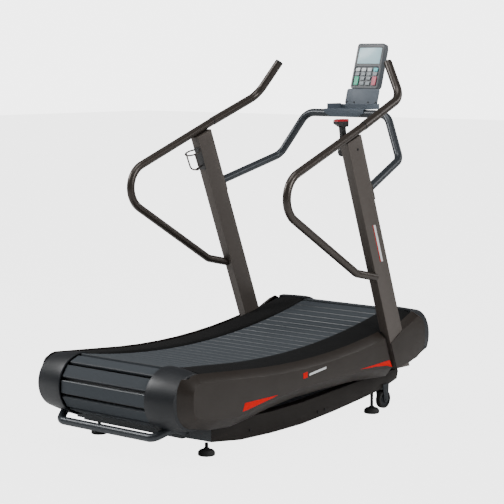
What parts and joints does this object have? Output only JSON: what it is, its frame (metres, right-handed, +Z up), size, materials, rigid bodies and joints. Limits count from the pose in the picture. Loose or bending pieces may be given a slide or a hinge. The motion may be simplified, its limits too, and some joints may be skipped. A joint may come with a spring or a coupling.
{
  "type": "curved manual treadmill",
  "caption": "Curved manual treadmill with a slat belt on drums, leaning uprights, loop handrails, forward horns, a brake lever and a small console.",
  "frame": {"origin": "on the floor, under the middle of the bounding box", "axes": "+X towards the runner's right, +Y forward to the console end, +Z up"},
  "size_m": [0.8748, 1.7166, 1.5626],
  "materials": {
    "brown_paint": "satin metallic",
    "black_plastic": "satin",
    "black_paint": "satin powder coat",
    "slat_rubber": "matte, ribbed",
    "steel": "turned",
    "cast_iron": "machined",
    "black_rubber": "matte",
    "tread": "grained, non-slip",
    "grey_plastic": "satin",
    "display": "clear window over a pale display",
    "lever_plastic": "satin",
    "key_white": "satin",
    "key_cyan": "satin",
    "key_grey": "satin",
    "key_green": "satin",
    "key_red": "satin"
  },
  "bodies": {
    "frame": {"bottle_cage": "black_paint", "chassis_plate_left": "black_paint", "chassis_plate_right": "black_paint", "console_back": "black_plastic", "console_bar": "black_paint", "console_bracket": "black_paint", "console_housing": "grey_plastic", "console_tray": "black_paint", "drive_belt": "black_rubber", "foot_rail_left": "tread", "foot_rail_right": "tread", "front_cap_left": "black_plastic", "front_cap_right": "black_plastic", "front_cross_member": "black_paint", "front_side_cover_left": "brown_paint", "front_side_cover_right": "brown_paint", "handrail_left": "black_paint", "handrail_right": "black_paint", "horn_left": "black_paint", "horn_right": "black_paint", "lever_hub": "lever_plastic", "lift_handle": "black_paint", "post_left": "brown_paint", "post_right": "brown_paint", "rear_cap_left": "black_plastic", "rear_cap_right": "black_plastic", "rear_cross_member": "black_paint", "screen": "display", "side_beam_left": "brown_paint", "side_beam_right": "brown_paint", "side_panel_left": "brown_paint", "side_panel_right": "brown_paint", "slat_belt": "slat_rubber", "wheel_bracket_left": "brown_paint", "wheel_bracket_right": "brown_paint"},
    "rear_drum": {"rear_drum": "steel"},
    "front_drum": {"front_drum": "steel"},
    "flywheel": {"flywheel": "cast_iron"},
    "magnet_yoke": {"magnet_yoke": "steel"},
    "lever_arm": {"lever_arm": "lever_plastic"},
    "transport_wheel_left": {"transport_wheel_left": "black_rubber"},
    "transport_wheel_right": {"transport_wheel_right": "black_rubber"},
    "rear_foot_left": {"rear_foot_left": "black_rubber"},
    "rear_foot_right": {"rear_foot_right": "black_rubber"},
    "front_foot_left": {"front_foot_left": "black_rubber"},
    "front_foot_right": {"front_foot_right": "black_rubber"},
    "key_01": {"key_01": "key_white"},
    "key_02": {"key_02": "key_white"},
    "key_03": {"key_03": "key_white"},
    "key_04": {"key_04": "key_cyan"},
    "key_05": {"key_05": "key_grey"},
    "key_06": {"key_06": "key_grey"},
    "key_07": {"key_07": "key_grey"},
    "key_08": {"key_08": "key_grey"},
    "key_09": {"key_09": "key_green"},
    "key_10": {"key_10": "key_grey"},
    "key_11": {"key_11": "key_grey"},
    "key_12": {"key_12": "key_red"},
    "key_13": {"key_13": "key_grey"},
    "key_14": {"key_14": "key_grey"}
  },
  "joints": [
    {"name": "front_drum_spin", "type": "hinge", "parent": "frame", "child": "front_drum", "pos_m": [0, 0.645, 0.31], "axis": [1, 0, 0], "continuous": true},
    {"name": "rear_drum_spin", "type": "hinge", "parent": "frame", "child": "rear_drum", "pos_m": [0, -0.736, 0.235], "axis": [1, 0, 0], "continuous": true},
    {"name": "flywheel_spin", "type": "hinge", "parent": "frame", "child": "flywheel", "pos_m": [-0.281, 0.548, 0.272], "axis": [1, 0, 0], "continuous": true},
    {"name": "lever_tilt", "type": "hinge", "parent": "frame", "child": "lever_arm", "pos_m": [0.355, 0.159, 1.125], "axis": [1, 0, 0], "range_deg": [-25, 40]},
    {"name": "magnet_yoke_swing", "type": "hinge", "parent": "frame", "child": "magnet_yoke", "pos_m": [-0.281, 0.484, 0.309], "axis": [1, 0, 0], "range_deg": [-1.5, 2.5]},
    {"name": "transport_wheel_left_spin", "type": "hinge", "parent": "frame", "child": "transport_wheel_left", "pos_m": [-0.294, 0.531, 0.049], "axis": [1, 0, 0], "continuous": true},
    {"name": "transport_wheel_right_spin", "type": "hinge", "parent": "frame", "child": "transport_wheel_right", "pos_m": [0.294, 0.531, 0.049], "axis": [1, 0, 0], "continuous": true},
    {"name": "rear_foot_left_turn", "type": "hinge", "parent": "frame", "child": "rear_foot_left", "pos_m": [-0.2915, -0.584, 0], "axis": [0, 0, 1], "continuous": true},
    {"name": "rear_foot_right_turn", "type": "hinge", "parent": "frame", "child": "rear_foot_right", "pos_m": [0.2915, -0.584, 0], "axis": [0, 0, 1], "continuous": true},
    {"name": "front_foot_left_turn", "type": "hinge", "parent": "frame", "child": "front_foot_left", "pos_m": [-0.2915, 0.4535, 0], "axis": [0, 0, 1], "continuous": true},
    {"name": "front_foot_right_turn", "type": "hinge", "parent": "frame", "child": "front_foot_right", "pos_m": [0.2915, 0.4535, 0], "axis": [0, 0, 1], "continuous": true},
    {"name": "key_01_press", "type": "slide", "parent": "frame", "child": "key_01", "axis": [0, 0.9593, -0.2823], "range_m": [0, 0.0012], "stiffness_N_per_m": 300, "springref_m": -0.0003},
    {"name": "key_02_press", "type": "slide", "parent": "frame", "child": "key_02", "axis": [0, 0.9593, -0.2823], "range_m": [0, 0.0012], "stiffness_N_per_m": 300, "springref_m": -0.0003},
    {"name": "key_03_press", "type": "slide", "parent": "frame", "child": "key_03", "axis": [0, 0.9593, -0.2823], "range_m": [0, 0.0012], "stiffness_N_per_m": 300, "springref_m": -0.0003},
    {"name": "key_04_press", "type": "slide", "parent": "frame", "child": "key_04", "axis": [0, 0.9593, -0.2823], "range_m": [0, 0.0012], "stiffness_N_per_m": 300, "springref_m": -0.0003},
    {"name": "key_05_press", "type": "slide", "parent": "frame", "child": "key_05", "axis": [0, 0.9593, -0.2823], "range_m": [0, 0.0012], "stiffness_N_per_m": 300, "springref_m": -0.0003},
    {"name": "key_06_press", "type": "slide", "parent": "frame", "child": "key_06", "axis": [0, 0.9593, -0.2823], "range_m": [0, 0.0012], "stiffness_N_per_m": 300, "springref_m": -0.0003},
    {"name": "key_07_press", "type": "slide", "parent": "frame", "child": "key_07", "axis": [0, 0.9593, -0.2823], "range_m": [0, 0.0012], "stiffness_N_per_m": 300, "springref_m": -0.0003},
    {"name": "key_08_press", "type": "slide", "parent": "frame", "child": "key_08", "axis": [0, 0.9593, -0.2823], "range_m": [0, 0.0012], "stiffness_N_per_m": 300, "springref_m": -0.0003},
    {"name": "key_09_press", "type": "slide", "parent": "frame", "child": "key_09", "axis": [0, 0.9593, -0.2823], "range_m": [0, 0.0012], "stiffness_N_per_m": 300, "springref_m": -0.0003},
    {"name": "key_10_press", "type": "slide", "parent": "frame", "child": "key_10", "axis": [0, 0.9593, -0.2823], "range_m": [0, 0.0012], "stiffness_N_per_m": 300, "springref_m": -0.0003},
    {"name": "key_11_press", "type": "slide", "parent": "frame", "child": "key_11", "axis": [0, 0.9593, -0.2823], "range_m": [0, 0.0012], "stiffness_N_per_m": 300, "springref_m": -0.0003},
    {"name": "key_12_press", "type": "slide", "parent": "frame", "child": "key_12", "axis": [0, 0.9593, -0.2823], "range_m": [0, 0.0012], "stiffness_N_per_m": 300, "springref_m": -0.0003},
    {"name": "key_13_press", "type": "slide", "parent": "frame", "child": "key_13", "axis": [0, 0.9593, -0.2823], "range_m": [0, 0.0012], "stiffness_N_per_m": 300, "springref_m": -0.0003},
    {"name": "key_14_press", "type": "slide", "parent": "frame", "child": "key_14", "axis": [0, 0.9593, -0.2823], "range_m": [0, 0.0012], "stiffness_N_per_m": 300, "springref_m": -0.0003}
  ],
  "couplings": [
    {"joint": "rear_drum_spin", "follows": "front_drum_spin", "ratio": 1},
    {"joint": "flywheel_spin", "follows": "front_drum_spin", "ratio": 3},
    {"joint": "magnet_yoke_swing", "follows": "lever_tilt", "ratio": 0.05}
  ]
}
